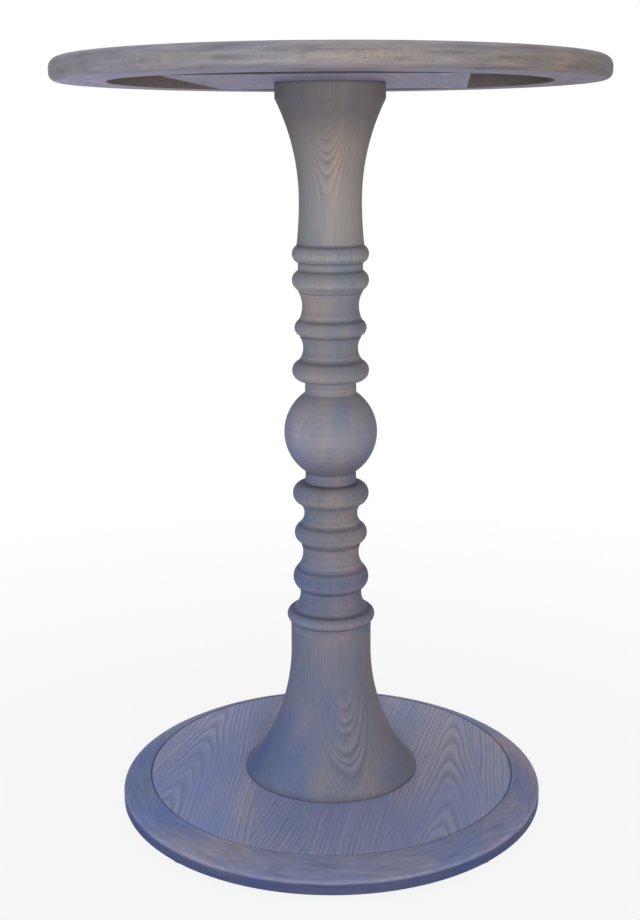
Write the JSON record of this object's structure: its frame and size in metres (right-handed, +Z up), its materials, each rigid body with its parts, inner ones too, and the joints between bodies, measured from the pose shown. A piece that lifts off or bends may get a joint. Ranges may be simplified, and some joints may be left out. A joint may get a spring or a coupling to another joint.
{
  "type": "round cocktail table",
  "caption": "Round bar-height cocktail table: rounded-rim top on a turned baluster column with a central ball and a bell foot, on a bevelled round base with levelling glides.",
  "frame": {"origin": "on the floor, on the axis of the column", "axes": "+Z up along the column, -Y towards the viewer of the picture, +X to the viewer's right"},
  "size_m": [0.744, 0.744, 1.067],
  "materials": {
    "rim_wood": "grey wash, satin",
    "panel_wood": "grey wash, satin",
    "column_wood": "grey wash, satin",
    "board_wood": "grey wash, matt",
    "joint_wood": "bare",
    "steel": "zinc plated",
    "brass": "plain",
    "nylon": "matt"
  },
  "bodies": {
    "table": {"base_panel": "panel_wood", "base_rim_segment_1": "rim_wood", "base_rim_segment_2": "rim_wood", "base_rim_segment_3": "rim_wood", "base_rim_segment_4": "rim_wood", "base_rim_segment_5": "rim_wood", "base_rim_segment_6": "rim_wood", "base_rim_segment_7": "rim_wood", "base_rim_segment_8": "rim_wood", "base_rim_splines": "joint_wood", "column_baluster": "column_wood", "column_bell": "column_wood", "column_flare": "column_wood", "column_lag_screws": "steel", "foot_dowels": "joint_wood", "glide_insert_1": "brass", "glide_insert_2": "brass", "glide_insert_3": "brass", "glide_insert_4": "brass", "mounting_board": "board_wood", "mounting_board_screws": "steel", "tie_rod": "steel", "tie_rod_lower_nut": "steel", "tie_rod_lower_washer": "steel", "tie_rod_upper_nut": "steel", "tie_rod_upper_washer": "steel", "top_panel": "panel_wood", "top_rim_segment_1": "rim_wood", "top_rim_segment_2": "rim_wood", "top_rim_segment_3": "rim_wood", "top_rim_segment_4": "rim_wood", "top_rim_segment_5": "rim_wood", "top_rim_segment_6": "rim_wood", "top_rim_segment_7": "rim_wood", "top_rim_segment_8": "rim_wood", "top_rim_splines": "joint_wood"},
    "pad_1": {"glide_pad_1": "nylon"},
    "stem_1": {"glide_stem_1": "steel"},
    "pad_2": {"glide_pad_2": "nylon"},
    "stem_2": {"glide_stem_2": "steel"},
    "pad_3": {"glide_pad_3": "nylon"},
    "stem_3": {"glide_stem_3": "steel"},
    "pad_4": {"glide_pad_4": "nylon"},
    "stem_4": {"glide_stem_4": "steel"}
  },
  "joints": [
    {"name": "glide_1_height", "type": "slide", "parent": "table", "child": "pad_1", "axis": [0, 0, -1], "range_m": [0, 0.008]},
    {"name": "glide_1_turn", "type": "hinge", "parent": "pad_1", "child": "stem_1", "pos_m": [0.20153, 0.20153, 0.01], "axis": [0, 0, -1], "range_deg": [0, 2304]},
    {"name": "glide_2_height", "type": "slide", "parent": "table", "child": "pad_2", "axis": [0, 0, -1], "range_m": [0, 0.008]},
    {"name": "glide_2_turn", "type": "hinge", "parent": "pad_2", "child": "stem_2", "pos_m": [-0.20153, 0.20153, 0.01], "axis": [0, 0, -1], "range_deg": [0, 2304]},
    {"name": "glide_3_height", "type": "slide", "parent": "table", "child": "pad_3", "axis": [0, 0, -1], "range_m": [0, 0.008]},
    {"name": "glide_3_turn", "type": "hinge", "parent": "pad_3", "child": "stem_3", "pos_m": [-0.20153, -0.20153, 0.01], "axis": [0, 0, -1], "range_deg": [0, 2304]},
    {"name": "glide_4_height", "type": "slide", "parent": "table", "child": "pad_4", "axis": [0, 0, -1], "range_m": [0, 0.008]},
    {"name": "glide_4_turn", "type": "hinge", "parent": "pad_4", "child": "stem_4", "pos_m": [0.20153, -0.20153, 0.01], "axis": [0, 0, -1], "range_deg": [0, 2304]}
  ],
  "couplings": [
    {"joint": "glide_1_height", "follows": "glide_1_turn", "m_per_rad": 0.00019894},
    {"joint": "glide_2_height", "follows": "glide_2_turn", "m_per_rad": 0.00019894},
    {"joint": "glide_3_height", "follows": "glide_3_turn", "m_per_rad": 0.00019894},
    {"joint": "glide_4_height", "follows": "glide_4_turn", "m_per_rad": 0.00019894}
  ]
}
